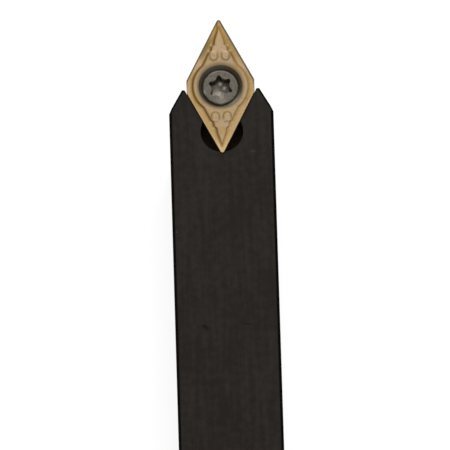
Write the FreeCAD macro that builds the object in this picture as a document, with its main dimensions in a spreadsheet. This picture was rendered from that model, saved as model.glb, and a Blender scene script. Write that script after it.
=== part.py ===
# Neutral turning tool holder with a screw-clamped diamond insert, in millimetres.
# The tool lies on its shank: +Z is up, +Y points from the shank to the cutting nose, and the
# origin is the middle of the underside. Three pieces: holder_body, cutting_insert, clamp_screw.
import FreeCAD, Part
import math
import os
import Sketcher
from FreeCAD import Placement, Rotation, Vector

# Driving sizes: name, value and meaning. Lengths are in millimetres and angles in degrees.
SIZES = [
    ("shank_width", 10.0, "width of the square shank"),
    ("shank_height", 10.0, "height of the shank, which is the height of the cutting edge"),
    ("overall_length", 70.0, "from the rear face to the cutting nose"),
    ("edge_bevel", 0.25, "bevel on the long edges of the shank"),
    ("rear_bevel", 0.6, "bevel round the rear face"),
    ("head_angle", 30.0, "angle between each flank of the head and the shank"),
    ("head_relief", 7.0, "inward lean of the flanks, from the top down"),
    ("flank_gap", 0.274, "from the insert's side flats out to the flanks, beside its centre"),
    ("keel_radius", 0.3, "rounding of the edge where the flanks meet under the nose"),
    ("ear_setback", 0.3, "from the insert's centre back to the blunt front of the seat's ears"),
    ("inscribed_circle", 6.35, "circle that touches the four sides of the insert"),
    ("nose_angle", 55.0, "angle of the cutting nose"),
    ("nose_radius", 0.2, "radius of the cutting nose"),
    ("corner_flat", 1.25, "length of the flats that cut off the insert's wide corners"),
    ("insert_thickness", 2.38, "thickness of the insert"),
    ("insert_relief", 7.0, "inward lean of the insert's sides, from the top down"),
    ("land_width", 0.07, "flat land behind the cutting edge"),
    ("groove_reach", 0.65, "from the cutting edge to the bottom of the chip groove"),
    ("groove_depth", 0.12, "depth of the chip groove below the cutting edge"),
    ("plateau_radius", 2.68, "radius of the round plateau about the bore, at its foot"),
    ("plateau_draft", 35.0, "lean of the plateau's walls from upright"),
    ("tongue_setback", 0.93, "from the sharp corner back to the tip of the plateau's tongue"),
    ("tongue_gap", 0.77, "from the cutting edge to the root of the tongue"),
    ("front_step_setback", 2.53, "from the sharp corner back to the plateau's first step"),
    ("front_step_gap", 0.59, "from the cutting edge to the shoulder of the first step"),
    ("rear_step_setback", 3.13, "from the sharp corner back to the plateau's second step"),
    ("rear_step_gap", 0.77, "from the cutting edge to the root of the second step"),
    ("step_run", 0.1, "length along the insert in which each step widens"),
    ("bump_width", 0.74, "width of the raised chip bumps"),
    ("bump_length", 1.0, "length of the raised chip bumps"),
    ("bump_height", 0.05, "height of the bumps above the plateau"),
    ("bump_edge", 0.03, "bevel along the top edge of the bumps"),
    ("bump_spacing", 1.14, "between the middles of the two bumps of a pair"),
    ("bump_setback", 3.28, "from the sharp corner back to the front of the bumps"),
    ("bore_clearance", 0.15, "radial gap between the screw's thread and the insert's bore"),
    ("mouth_diameter", 4.2, "mouth of the insert's bore"),
    ("mouth_angle", 60.0, "angle of the cone under the mouth and under the screw head"),
    ("bore_bevel", 0.12, "bevel of the bore at the insert's underside"),
    ("seat_clearance", 0.02, "gap between the insert's sides and the walls of its seat"),
    ("wall_break", 0.07, "bevel along the top edge of the seat's walls"),
    ("relief_radius", 2.05, "radius of the round relief under the insert's rear tip"),
    ("relief_depth", 0.35, "depth of the round relief below the floor of the seat"),
    ("tip_overhang", 0.09, "how far the insert's rear tip passes the round relief"),
    ("thread_diameter", 2.5, "outer diameter of the clamp screw's thread"),
    ("thread_clearance", 0.03, "radial gap between the screw and its hole in the holder"),
    ("thread_bevel", 0.18, "bevel at both ends of the tapped hole"),
    ("head_diameter", 3.5, "diameter of the screw head"),
    ("head_rim", 0.25, "height of the screw head's upright rim"),
    ("head_round", 0.18, "rounding of the screw head's top edge"),
    ("head_clearance", 0.02, "gap between the screw head's cone and the insert's mouth"),
    ("screw_length", 6.5, "length of the clamp screw over all"),
    ("screw_bevel", 0.4, "bevel at the tip of the screw"),
    ("recess_across", 2.34, "six-lobe recess, across the lobes"),
    ("recess_waist", 1.7, "six-lobe recess, across the flutes"),
    ("lobe_radius", 0.19, "radius of the recess's lobes"),
    ("recess_depth", 1.05, "depth of the recess"),
    ("recess_point", 0.15, "depth of the hollow cone at the recess's floor"),
    ("recess_turn", 38.0, "turn of the recess from the +X axis"),
]
LOBES = 6
MARGIN = 1.0  # how far a cutting shape runs past the material that it cuts

# Places that several pieces share, worked out from the driving sizes.
HALF_NOSE = "(Sizes.nose_angle / 2)"
CIRCLE = "(Sizes.inscribed_circle / 2)"
CORNER = f"({CIRCLE} / sin({HALF_NOSE}))"
REACH = f"(({CIRCLE} - Sizes.nose_radius) / sin({HALF_NOSE}) + Sizes.nose_radius)"
AXIS_Y = f"(Sizes.overall_length / 2 - {REACH})"
SEAT_Z = "(Sizes.shank_height - Sizes.insert_thickness)"
CORNER_X = f"(({CIRCLE} - Sizes.corner_flat / 2 * sin({HALF_NOSE})) / cos({HALF_NOSE}))"
SIDE_DROP = "(Sizes.insert_thickness * tan(Sizes.insert_relief))"
UNDER_NOSE = f"max(Sizes.nose_radius - {SIDE_DROP}; Sizes.nose_radius / 4)"
FLANK_X = f"({CORNER_X} + Sizes.flank_gap)"
SHOULDER_Y = f"({AXIS_Y} - (Sizes.shank_width / 2 - {FLANK_X}) / tan(Sizes.head_angle))"
KEEL_Y = f"({AXIS_Y} + {FLANK_X} / tan(Sizes.head_angle))"
GROOVE_Z = "(Sizes.insert_thickness - Sizes.groove_depth)"
BORE = "(Sizes.thread_diameter / 2 + Sizes.bore_clearance)"
CONE = "(Sizes.mouth_angle / 2)"
CONE_FOOT_Z = f"(Sizes.insert_thickness - (Sizes.mouth_diameter / 2 - {BORE}) / tan({CONE}))"
CONE_SHIFT = f"(Sizes.head_clearance / cos({CONE}))"

doc = FreeCAD.newDocument("TurningToolHolder")
sheet = doc.addObject("Spreadsheet::Sheet", "Sizes")
for row, (alias, value, meaning) in enumerate(SIZES, start=1):
    sheet.set(f"A{row}", alias)
    sheet.set(f"B{row}", str(value))
    sheet.setAlias(f"B{row}", alias)
    sheet.set(f"C{row}", meaning)
doc.recompute()


def number(expression):
    """The present value of an expression on the sheet's sizes."""
    result = sheet.evalExpression(str(expression))
    return float(getattr(result, "Value", result))


def new_body(label):
    """An empty body, named and labelled for its piece."""
    body = doc.addObject("PartDesign::Body", label)
    body.Label = label
    return body


def origin_feature(body, role):
    """One of the planes or axes of the body's own origin."""
    return next(item for item in body.Origin.OriginFeatures if item.Role == role)


def new_sketch(body, name, plane="XY_Plane", height=None):
    """A sketch on a plane of the body's origin, raised by the expression for its height."""
    sketch = body.newObject("Sketcher::SketchObject", name)
    sketch.AttachmentSupport = (origin_feature(body, plane), [""])
    sketch.MapMode = "FlatFace"
    if height is not None:
        sketch.AttachmentOffset = Placement(Vector(0, 0, number(height)), Rotation())
        sketch.setExpression("AttachmentOffset.Base.z", height)
    return sketch


def bind(sketch, kind, target, expression):
    """Add a dimension to the sketch that follows an expression."""
    index = sketch.addConstraint(Sketcher.Constraint(kind, *target, number(expression)))
    sketch.setExpression(f"Constraints[{index}]", expression)


def bind_point(sketch, geometry, point, x, y):
    """Hold a point of the sketch at x and y from the sketch's origin."""
    bind(sketch, "DistanceX", (-1, 1, geometry, point), x)
    bind(sketch, "DistanceY", (-1, 1, geometry, point), y)


def closed_lines(sketch, points):
    """Join the points by lines into a closed outline, and give the number of the first line."""
    places = [Vector(number(x), number(y), 0) for x, y in points]
    first = sketch.GeometryCount
    for start, end in zip(places, places[1:] + places[:1]):
        sketch.addGeometry(Part.LineSegment(start, end), False)
    for step in range(len(places)):
        following = first + (step + 1) % len(places)
        sketch.addConstraint(Sketcher.Constraint("Coincident", first + step, 2, following, 1))
    return first


def outline(sketch, points):
    """A closed outline with each point dimensioned from the sketch's origin."""
    first = closed_lines(sketch, points)
    for step, (x, y) in enumerate(points):
        bind_point(sketch, first + step, 1, x, y)


def mirrored_outline(sketch, half):
    """A closed outline from the points of its right half, the left half held symmetric.

    A point whose x is written "0" lies on the axis and has no twin."""
    twins = [(f"-({x})", y) for x, y in reversed(half) if x != "0"]
    first = closed_lines(sketch, half + twins)
    last = first + len(half) + len(twins) - 1
    starts_on_axis = half[0][0] == "0"
    for step, (x, y) in enumerate(half):
        line = first + step
        if x == "0":
            sketch.addConstraint(Sketcher.Constraint("PointOnObject", line, 1, -2))
            bind(sketch, "DistanceY", (-1, 1, line, 1), y)
            continue
        bind_point(sketch, line, 1, x, y)
        twin = last - step + (1 if starts_on_axis else 0)
        sketch.addConstraint(Sketcher.Constraint("Symmetric", line, 1, twin, 1, -2))


def circle(sketch, radius, x, y):
    """A circle with its centre at x and y."""
    centre = Vector(number(x), number(y), 0)
    index = sketch.addGeometry(Part.Circle(centre, Vector(0, 0, 1), number(radius)), False)
    bind(sketch, "Radius", (index,), radius)
    bind_point(sketch, index, 3, x, y)


def sketch_line(sketch, start, end):
    """A line between two points, and its number in the sketch."""
    return sketch.addGeometry(Part.LineSegment(start, end), False)


def arc(sketch, centre, radius, start, end):
    """An arc from one angle to another, in degrees, and its number in the sketch."""
    turn = Part.Circle(Vector(centre[0], centre[1], 0), Vector(0, 0, 1), radius)
    return sketch.addGeometry(Part.ArcOfCircle(turn, math.radians(start), math.radians(end)), False)


def diamond(sketch, inscribed, nose, corner_x):
    """The insert's outline: four sides that touch a circle of the inscribed radius, a rounded
    nose at each narrow corner and a flat at each wide one, which stands at x = corner_x."""
    half = number(HALF_NOSE)
    slope = math.radians(half)
    centre_y = f"(({inscribed}) - ({nose})) / sin({HALF_NOSE})"
    corner_y = f"(({inscribed}) - ({corner_x}) * cos({HALF_NOSE})) / sin({HALF_NOSE})"
    nose_size = number(nose)
    nose_y = number(centre_y)
    touch = Vector(nose_size * math.cos(slope), nose_y + nose_size * math.sin(slope), 0)
    flat = Vector(number(corner_x), number(corner_y), 0)

    def at(point, along, across):
        return Vector(point.x * along, point.y * across, 0)

    sides = [(1, 1), (-1, 1), (-1, -1), (1, -1)]
    lines = [sketch_line(sketch, at(flat, x, y), at(touch, x, y)) for x, y in sides]
    front = arc(sketch, (0, nose_y), nose_size, half, 180 - half)
    rear = arc(sketch, (0, -nose_y), nose_size, 180 + half, 360 - half)
    right = sketch_line(sketch, at(flat, 1, -1), at(flat, 1, 1))
    left = sketch_line(sketch, at(flat, -1, 1), at(flat, -1, -1))
    tangents = [(lines[0], front, 1), (lines[1], front, 2), (lines[2], rear, 1), (lines[3], rear, 2)]
    for line, nose_arc, end in tangents:
        sketch.addConstraint(Sketcher.Constraint("Tangent", line, 2, nose_arc, end))
    corners = [(lines[0], right, 2), (lines[1], left, 1), (lines[2], left, 2), (lines[3], right, 1)]
    for line, flat_line, end in corners:
        sketch.addConstraint(Sketcher.Constraint("Coincident", line, 1, flat_line, end))
    for nose_arc, sign in ((front, ""), (rear, "-")):
        sketch.addConstraint(Sketcher.Constraint("PointOnObject", nose_arc, 3, -2))
        bind(sketch, "Radius", (nose_arc,), nose)
        bind(sketch, "DistanceY", (-1, 1, nose_arc, 3), f"{sign}({centre_y})")
    for line, (x, y) in zip(lines, sides):
        bind_point(sketch, line, 1, f"{x} * ({corner_x})", f"{y} * ({corner_y})")


def pad(body, name, sketch, length, taper=None):
    """Raise a sketch by a length, leaning in by the taper."""
    feature = body.newObject("PartDesign::Pad", name)
    feature.Profile = sketch
    feature.setExpression("Length", length)
    if taper is not None:
        feature.setExpression("TaperAngle", taper)
    return feature


def pocket(body, name, sketch, length, taper=None):
    """Cut a sketch down into the body by a length, leaning by the taper."""
    feature = body.newObject("PartDesign::Pocket", name)
    feature.Profile = sketch
    feature.setExpression("Length", length)
    if taper is not None:
        feature.setExpression("TaperAngle", taper)
    return feature


def loft(body, kind, name, lower, upper):
    """Join two outlines with straight-ruled walls, added to the body or cut from it."""
    feature = body.newObject(f"PartDesign::{kind}", name)
    feature.Profile = lower
    feature.Sections = [upper]
    feature.Ruled = True
    return feature


def turned(body, kind, name, sketch):
    """Turn a sketch about the body's upright axis, added to the body or cut from it."""
    feature = body.newObject(f"PartDesign::{kind}", name)
    feature.Profile = sketch
    feature.ReferenceAxis = (origin_feature(body, "Z_Axis"), [""])
    feature.Angle = 360
    return feature


def mirror(body, name, feature, plane):
    """Repeat a feature on the other side of a plane of the body's origin."""
    copy = body.newObject("PartDesign::Mirrored", name)
    copy.Originals = [feature]
    copy.MirrorPlane = (origin_feature(body, plane), [""])
    body.Tip = copy
    return copy


def dress(body, kind, name, base, chosen, size):
    """Bevel or round the edges of the base that the test chooses."""
    doc.recompute()
    names = [f"Edge{index}" for index, edge in enumerate(base.Shape.Edges, start=1) if chosen(edge)]
    feature = body.newObject(f"PartDesign::{kind}", name)
    feature.Base = (base, names)
    feature.setExpression("Radius" if kind == "Fillet" else "Size", size)
    return feature


def near(first, second):
    """Whether two lengths agree to a thousandth of a millimetre."""
    return abs(first - second) < 0.001


def ends(edge):
    """The two end points of an edge."""
    return edge.firstVertex().Point, edge.lastVertex().Point


# Holder body: a square bar whose head narrows to a keel that carries the insert.
def shank(body):
    """The bar from its rear face to the keel, with bevelled edges."""
    plan = new_sketch(body, "bar_plan")
    rear = "-Sizes.overall_length / 2"
    mirrored_outline(plan, [("Sizes.shank_width / 2", rear), ("Sizes.shank_width / 2", KEEL_Y)])
    bar = pad(body, "bar", plan, "Sizes.shank_height")
    side = number("Sizes.shank_width / 2")
    rear_y = number(rear)
    rear_edges = dress(body, "Chamfer", "rear_edges", bar, lambda edge: all(
        near(end.y, rear_y) for end in ends(edge)), "Sizes.rear_bevel")
    return dress(body, "Chamfer", "long_edges", rear_edges, lambda edge: all(
        near(abs(end.x), side) for end in ends(edge)) and edge.Length > number("Sizes.shank_width")
        and near(*[end.z for end in ends(edge)]), "Sizes.edge_bevel")


def head_flanks(body):
    """Two flanks that close on the axis, lean in as they go down, and meet in a rounded keel."""
    plan = new_sketch(body, "flank_plan", height="Sizes.shank_height")
    outside = f"Sizes.shank_width / 2 + {MARGIN}"
    ahead = f"{KEEL_Y} + {MARGIN}"
    behind = f"{SHOULDER_Y} - {MARGIN} / tan(Sizes.head_angle)"
    outline(plan, [(outside, behind), (outside, ahead), ("0", ahead), ("0", KEEL_Y)])
    flank = pocket(body, "flank", plan, "Sizes.shank_height", "Sizes.head_relief")
    both = mirror(body, "flanks", flank, "YZ_Plane")
    return dress(body, "Fillet", "keel", both, lambda edge: all(
        near(end.x, 0) and end.y > number(AXIS_Y) for end in ends(edge)), "Sizes.keel_radius")


def seat_plan(body, name, height, inscribed, nose, gap):
    """The V of the seat at a height, outside the insert's sides and round its nose by the gap."""
    plan = new_sketch(body, name, height=height)
    half = number(HALF_NOSE)
    centre_y = f"({AXIS_Y} - ({inscribed} - {nose}) / sin({HALF_NOSE}))"
    size = f"({nose} + {gap})"
    front = f"({KEEL_Y} + {MARGIN})"
    half_width = f"(({inscribed} + {gap} + ({front} - {AXIS_Y}) * sin({HALF_NOSE})) / cos({HALF_NOSE}))"
    round_x = number(size) * math.cos(math.radians(half))
    round_y = number(centre_y) - number(size) * math.sin(math.radians(half))
    corner = Vector(number(half_width), number(front), 0)
    left_corner = Vector(-corner.x, corner.y, 0)
    right = sketch_line(plan, Vector(round_x, round_y, 0), corner)
    across_front = sketch_line(plan, corner, left_corner)
    left = sketch_line(plan, left_corner, Vector(-round_x, round_y, 0))
    apex = arc(plan, (0, number(centre_y)), number(size), 180 + half, 360 - half)
    plan.addConstraint(Sketcher.Constraint("Tangent", right, 1, apex, 2))
    plan.addConstraint(Sketcher.Constraint("Tangent", left, 2, apex, 1))
    plan.addConstraint(Sketcher.Constraint("Coincident", right, 2, across_front, 1))
    plan.addConstraint(Sketcher.Constraint("Coincident", across_front, 2, left, 1))
    plan.addConstraint(Sketcher.Constraint("PointOnObject", apex, 3, -2))
    bind(plan, "DistanceY", (-1, 1, apex, 3), centre_y)
    bind(plan, "Radius", (apex,), size)
    bind_point(plan, right, 2, half_width, front)
    bind_point(plan, left, 1, f"-{half_width}", front)
    return plan


def insert_seat(body):
    """The V-shaped seat, its bevelled top edge, its blunt ears and the round tip relief."""
    gap = "Sizes.seat_clearance"
    floor = seat_plan(body, "seat_floor", SEAT_Z, f"({CIRCLE} - {SIDE_DROP})", UNDER_NOSE, gap)
    top = seat_plan(body, "seat_top", "Sizes.shank_height", CIRCLE, "Sizes.nose_radius", gap)
    loft(body, "SubtractiveLoft", "seat", floor, top)
    rim_gap = f"({gap} + Sizes.wall_break)"
    rim = seat_plan(body, "rim_plan", "Sizes.shank_height", CIRCLE, "Sizes.nose_radius", rim_gap)
    pocket(body, "seat_rim", rim, "Sizes.wall_break", "-45")
    ears = new_sketch(body, "ear_plan", height="Sizes.shank_height")
    ear_y = f"{AXIS_Y} - Sizes.ear_setback"
    front = f"{KEEL_Y} + {MARGIN}"
    mirrored_outline(ears, [("Sizes.shank_width / 2", ear_y), ("Sizes.shank_width / 2", front)])
    pocket(body, "ear_fronts", ears, "Sizes.insert_thickness")
    relief = new_sketch(body, "relief_plan", height="Sizes.shank_height")
    relief_y = f"{AXIS_Y} - {REACH} + Sizes.tip_overhang + Sizes.relief_radius"
    circle(relief, "Sizes.relief_radius", "0", relief_y)
    return pocket(body, "tip_relief", relief, "Sizes.insert_thickness + Sizes.relief_depth")


def tapped_hole(body):
    """The hole for the clamp screw, from the floor of the seat to the underside, with a bevel at
    each end."""
    radius = "Sizes.thread_diameter / 2 + Sizes.thread_clearance"
    bevel = "Sizes.thread_bevel"
    plan = new_sketch(body, "hole_plan", height=SEAT_Z)
    circle(plan, radius, "0", AXIS_Y)
    pocket(body, "tapped_hole", plan, SEAT_Z)
    upper = new_sketch(body, "upper_bevel_plan", height=SEAT_Z)
    circle(upper, f"{radius} + {bevel}", "0", AXIS_Y)
    pocket(body, "upper_bevel", upper, bevel, "-45")
    lower = new_sketch(body, "lower_bevel_plan", height=bevel)
    circle(lower, radius, "0", AXIS_Y)
    return pocket(body, "lower_bevel", lower, bevel, "45")


def holder_body():
    """The one-piece steel holder."""
    body = new_body("holder_body")
    shank(body)
    head_flanks(body)
    insert_seat(body)
    tapped_hole(body)
    return body


# Cutting insert: a relieved diamond with a chip breaker pressed into its top face. Its own
# origin is on its axis, in its underside.
def insert_blank(body):
    """The diamond, whose sides lean in from the cutting edge down to the seat."""
    lower = new_sketch(body, "underside_outline")
    diamond(lower, f"{CIRCLE} - {SIDE_DROP}", UNDER_NOSE, f"{CORNER_X} - {SIDE_DROP}")
    upper = new_sketch(body, "edge_outline", height="Sizes.insert_thickness")
    diamond(upper, CIRCLE, "Sizes.nose_radius", CORNER_X)
    return loft(body, "AdditiveLoft", "blank", lower, upper)


def chip_groove(body):
    """The groove behind the land, sloping down from all round the cutting edge."""
    edge = new_sketch(body, "land_outline", height="Sizes.insert_thickness")
    edge_nose = "max(Sizes.nose_radius - Sizes.land_width; Sizes.nose_radius / 2)"
    diamond(edge, f"{CIRCLE} - Sizes.land_width", edge_nose, f"{CORNER_X} - Sizes.land_width")
    floor = new_sketch(body, "groove_outline", height=GROOVE_Z)
    floor_corner = f"{CORNER_X} - Sizes.groove_reach"
    diamond(floor, f"{CIRCLE} - Sizes.groove_reach", "Sizes.nose_radius / 4", floor_corner)
    return loft(body, "SubtractiveLoft", "chip_groove", floor, edge)


def across(setback, gap):
    """Half the insert's width, less a gap from the cutting edge, at a setback from the corner."""
    return f"(({setback}) * tan({HALF_NOSE}) - ({gap}) / cos({HALF_NOSE}))"


def tongue_outline(body, name, height, inset):
    """The plateau's stepped front, from its tongue's tip back into the round plateau."""
    sketch = new_sketch(body, name, height=height)
    foot = f"({CIRCLE} - Sizes.groove_reach - {inset})"
    front = "Sizes.front_step_setback"
    rear = "Sizes.rear_step_setback"
    half = [
        (f"{foot} * cos({HALF_NOSE})", f"{foot} * sin({HALF_NOSE})"),
        (across(f"{rear} + Sizes.step_run", f"Sizes.groove_reach + {inset}"),
         f"{CORNER} - {rear} - Sizes.step_run - {inset}"),
        (across(rear, f"Sizes.rear_step_gap + {inset}"), f"{CORNER} - {rear} - {inset}"),
        (across(f"{front} + Sizes.step_run", f"Sizes.front_step_gap + {inset}"),
         f"{CORNER} - {front} - Sizes.step_run - {inset}"),
        (across(front, f"Sizes.tongue_gap + {inset}"), f"{CORNER} - {front} - {inset}"),
        ("0", f"{CORNER} - Sizes.tongue_setback - 3 * {inset}"),
    ]
    mirrored_outline(sketch, half)
    return sketch


def plateau(body):
    """The round plateau about the bore and a stepped tongue towards each narrow corner."""
    disc = new_sketch(body, "plateau_outline", height=GROOVE_Z)
    circle(disc, "Sizes.plateau_radius", "0", "0")
    pad(body, "plateau", disc, "Sizes.groove_depth", "-Sizes.plateau_draft")
    lean = "(Sizes.groove_depth * tan(Sizes.plateau_draft))"
    lower = tongue_outline(body, "tongue_foot", GROOVE_Z, "0")
    upper = tongue_outline(body, "tongue_top", "Sizes.insert_thickness", lean)
    tongue = loft(body, "AdditiveLoft", "tongue", lower, upper)
    return mirror(body, "tongues", tongue, "XZ_Plane")


def bump_outline(sketch, middle):
    """One bump: a straight front and two sides that end in a half circle."""
    half = "Sizes.bump_width / 2"
    front = f"{CORNER} - Sizes.bump_setback"
    turn = f"{front} - Sizes.bump_length + {half}"
    right_x, left_x = number(f"{middle} + {half}"), number(f"{middle} - {half}")
    front_y, turn_y = number(front), number(turn)
    right = sketch_line(sketch, Vector(right_x, turn_y, 0), Vector(right_x, front_y, 0))
    top = sketch_line(sketch, Vector(right_x, front_y, 0), Vector(left_x, front_y, 0))
    left = sketch_line(sketch, Vector(left_x, front_y, 0), Vector(left_x, turn_y, 0))
    end = arc(sketch, (number(middle), turn_y), number(half), 180, 360)
    sketch.addConstraint(Sketcher.Constraint("Coincident", right, 2, top, 1))
    sketch.addConstraint(Sketcher.Constraint("Coincident", top, 2, left, 1))
    sketch.addConstraint(Sketcher.Constraint("Tangent", left, 2, end, 1))
    sketch.addConstraint(Sketcher.Constraint("Tangent", right, 1, end, 2))
    sketch.addConstraint(Sketcher.Constraint("Vertical", right))
    sketch.addConstraint(Sketcher.Constraint("Horizontal", top))
    bind_point(sketch, end, 3, middle, turn)
    bind(sketch, "Radius", (end,), half)
    bind(sketch, "DistanceY", (-1, 1, top, 1), front)


def chip_bumps(body):
    """A pair of raised bumps behind each tongue."""
    sketch = new_sketch(body, "bump_outlines", height="Sizes.insert_thickness")
    bump_outline(sketch, "Sizes.bump_spacing / 2")
    bump_outline(sketch, "-Sizes.bump_spacing / 2")
    pair = pad(body, "bump_pair", sketch, "Sizes.bump_height")
    pairs = mirror(body, "bump_pairs", pair, "XZ_Plane")
    top_z = number("Sizes.insert_thickness + Sizes.bump_height")
    return dress(body, "Chamfer", "bump_edges", pairs, lambda edge: all(
        near(end.z, top_z) for end in ends(edge)), "Sizes.bump_edge")


def insert_bore(body):
    """The bore through the insert, with its conical mouth and a bevel underneath."""
    profile = new_sketch(body, "bore_profile", plane="XZ_Plane")
    above = f"Sizes.insert_thickness + {MARGIN}"
    mouth = f"Sizes.mouth_diameter / 2 + {MARGIN} * tan({CONE})"
    outline(profile, [
        ("0", f"-{MARGIN}"),
        (f"{BORE} + Sizes.bore_bevel + {MARGIN}", f"-{MARGIN}"),
        (BORE, "Sizes.bore_bevel"),
        (BORE, CONE_FOOT_Z),
        (mouth, above),
        ("0", above),
    ])
    return turned(body, "Groove", "bore", profile)


def cutting_insert():
    """The coated carbide insert, seated on the floor of its pocket."""
    body = new_body("cutting_insert")
    insert_blank(body)
    chip_groove(body)
    plateau(body)
    chip_bumps(body)
    insert_bore(body)
    return body


# Clamp screw: a countersunk head over a plain shank as thick as the thread. Its own origin
# is on its axis, level with the floor of the seat.
def screw_heights():
    """Where the head's cone begins and ends, and where the head's top lies."""
    neck = f"({CONE_FOOT_Z} + (Sizes.thread_diameter / 2 - {BORE} + {CONE_SHIFT}) / tan({CONE}))"
    rim = f"({CONE_FOOT_Z} + (Sizes.head_diameter / 2 - {BORE} + {CONE_SHIFT}) / tan({CONE}))"
    return neck, rim, f"({rim} + Sizes.head_rim)"


def screw_blank(body):
    """Head, cone, shank and bevelled tip, turned about the screw's axis."""
    neck, rim, top = screw_heights()
    head = "Sizes.head_diameter / 2"
    thread = "Sizes.thread_diameter / 2"
    tip = f"{top} - Sizes.screw_length"
    profile = new_sketch(body, "screw_profile", plane="XZ_Plane")
    outline(profile, [
        ("0", tip),
        (f"{thread} - Sizes.screw_bevel", tip),
        (thread, f"{tip} + Sizes.screw_bevel"),
        (thread, neck),
        (head, rim),
        (head, top),
        ("0", top),
    ])
    blank = turned(body, "Revolution", "screw_blank", profile)
    head_radius, top_z = number(head), number(top)
    return dress(body, "Fillet", "head_edge", blank, lambda edge: isinstance(
        edge.Curve, Part.Circle) and near(edge.Curve.Radius, head_radius)
        and near(edge.Curve.Center.z, top_z), "Sizes.head_round")


def six_lobes(sketch):
    """The recess's outline: round lobes joined by hollow flutes that touch them."""
    turn, lobe = number("Sizes.recess_turn"), number("Sizes.lobe_radius")
    lobe_reach = "(Sizes.recess_across / 2 - Sizes.lobe_radius)"
    waist = "(Sizes.recess_waist / 2)"
    # A flute touches both its lobes when its centre lies at waist + flute from the axis.
    flute = (f"({lobe_reach}^2 + {waist}^2 - 2 * {lobe_reach} * {waist} * cos(180 / {LOBES})"
             f" - Sizes.lobe_radius^2) / (2 * (Sizes.lobe_radius - {waist}"
             f" + {lobe_reach} * cos(180 / {LOBES})))")
    far, flute_size = number(lobe_reach), number(flute)
    flute_far = number(waist) + flute_size
    step = 180 / LOBES
    lean = math.degrees(math.asin(flute_far * math.sin(math.radians(step)) / (lobe + flute_size)))
    flute_lean = lean - step
    arcs = []
    for count in range(LOBES):
        at = turn + 2 * step * count
        spot = (far * math.cos(math.radians(at)), far * math.sin(math.radians(at)))
        arcs.append(arc(sketch, spot, lobe, at - lean, at + lean))
        middle = at + step
        spot = (flute_far * math.cos(math.radians(middle)), flute_far * math.sin(math.radians(middle)))
        arcs.append(arc(sketch, spot, flute_size, middle + 180 - flute_lean, middle + 180 + flute_lean))
    for count in range(LOBES):
        lobe_arc, flute_arc = arcs[2 * count], arcs[2 * count + 1]
        next_lobe = arcs[(2 * count + 2) % len(arcs)]
        sketch.addConstraint(Sketcher.Constraint("Tangent", lobe_arc, 2, flute_arc, 2))
        sketch.addConstraint(Sketcher.Constraint("Tangent", flute_arc, 1, next_lobe, 1))
    for count in range(LOBES):
        angle = f"(Sizes.recess_turn + {2 * step * count})"
        spot = (f"{lobe_reach} * cos{angle}", f"{lobe_reach} * sin{angle}")
        bind_point(sketch, arcs[2 * count], 3, *spot)
        bind(sketch, "Radius", (arcs[2 * count],), "Sizes.lobe_radius")
        bind(sketch, "Radius", (arcs[2 * count + 1],), flute)


def screw_recess(body):
    """The six-lobe recess and the shallow cone in its floor."""
    top = screw_heights()[2]
    plan = new_sketch(body, "recess_plan", height=top)
    six_lobes(plan)
    pocket(body, "recess", plan, "Sizes.recess_depth")
    profile = new_sketch(body, "recess_point_profile", plane="XZ_Plane")
    floor = f"{top} - Sizes.recess_depth"
    outline(profile, [
        ("0", f"{floor} - Sizes.recess_point"),
        ("Sizes.recess_waist / 2", floor),
        ("0", floor),
    ])
    return turned(body, "Groove", "recess_cone", profile)


def clamp_screw():
    """The countersunk screw that holds the insert down."""
    body = new_body("clamp_screw")
    screw_blank(body)
    screw_recess(body)
    return body


def seat_on_axis(body):
    """Put a piece on the insert's axis, on the floor of the seat."""
    body.Placement = Placement(Vector(0, number(AXIS_Y), number(SEAT_Z)), Rotation())
    body.setExpression("Placement.Base.y", AXIS_Y)
    body.setExpression("Placement.Base.z", SEAT_Z)


pieces = [holder_body(), cutting_insert(), clamp_screw()]
for piece in pieces[1:]:
    seat_on_axis(piece)
doc.recompute()

for item in doc.Objects:
    faults = {"Invalid", "Error"} & set(item.State)
    if faults:
        raise RuntimeError(f"{item.Name} did not compute: {faults}")
for piece in pieces:
    if piece.Shape.isNull() or not piece.Shape.isValid() or len(piece.Shape.Solids) != 1:
        raise RuntimeError(f"{piece.Label} is not one valid solid")

os.makedirs("parts", exist_ok=True)
for piece in pieces:
    piece.Shape.exportStep(f"parts/{piece.Label}.step")
    print(f"{piece.Label}: {piece.Shape.Volume:.3f} cubic millimetres, {len(piece.Shape.Faces)} faces")
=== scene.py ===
"""Dresses a lathe turning tool holder: black bar, pressed diamond insert and six-lobe screw."""

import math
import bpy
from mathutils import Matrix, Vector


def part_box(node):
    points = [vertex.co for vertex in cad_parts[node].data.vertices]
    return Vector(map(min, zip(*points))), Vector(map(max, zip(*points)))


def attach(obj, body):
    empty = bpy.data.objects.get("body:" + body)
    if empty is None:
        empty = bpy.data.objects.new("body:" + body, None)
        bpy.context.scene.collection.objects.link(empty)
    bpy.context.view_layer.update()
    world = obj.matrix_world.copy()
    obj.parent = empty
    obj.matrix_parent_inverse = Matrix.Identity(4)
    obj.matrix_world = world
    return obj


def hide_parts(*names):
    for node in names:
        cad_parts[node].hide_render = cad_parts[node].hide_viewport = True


bl_info = {
    "name": "Turning Tool Holder",
    "version": (1, 0, 0),
    "blender": (4, 5, 0),
    "location": "View3D > Sidebar > Turning Tool",
    "description": "Finishes a square-shank turning tool with its clamped diamond insert",
    "category": "Object",
}

from collections import namedtuple

import bpy
import numpy as np
from bpy.props import FloatProperty, FloatVectorProperty, PointerProperty
from mathutils import Quaternion, Vector

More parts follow.
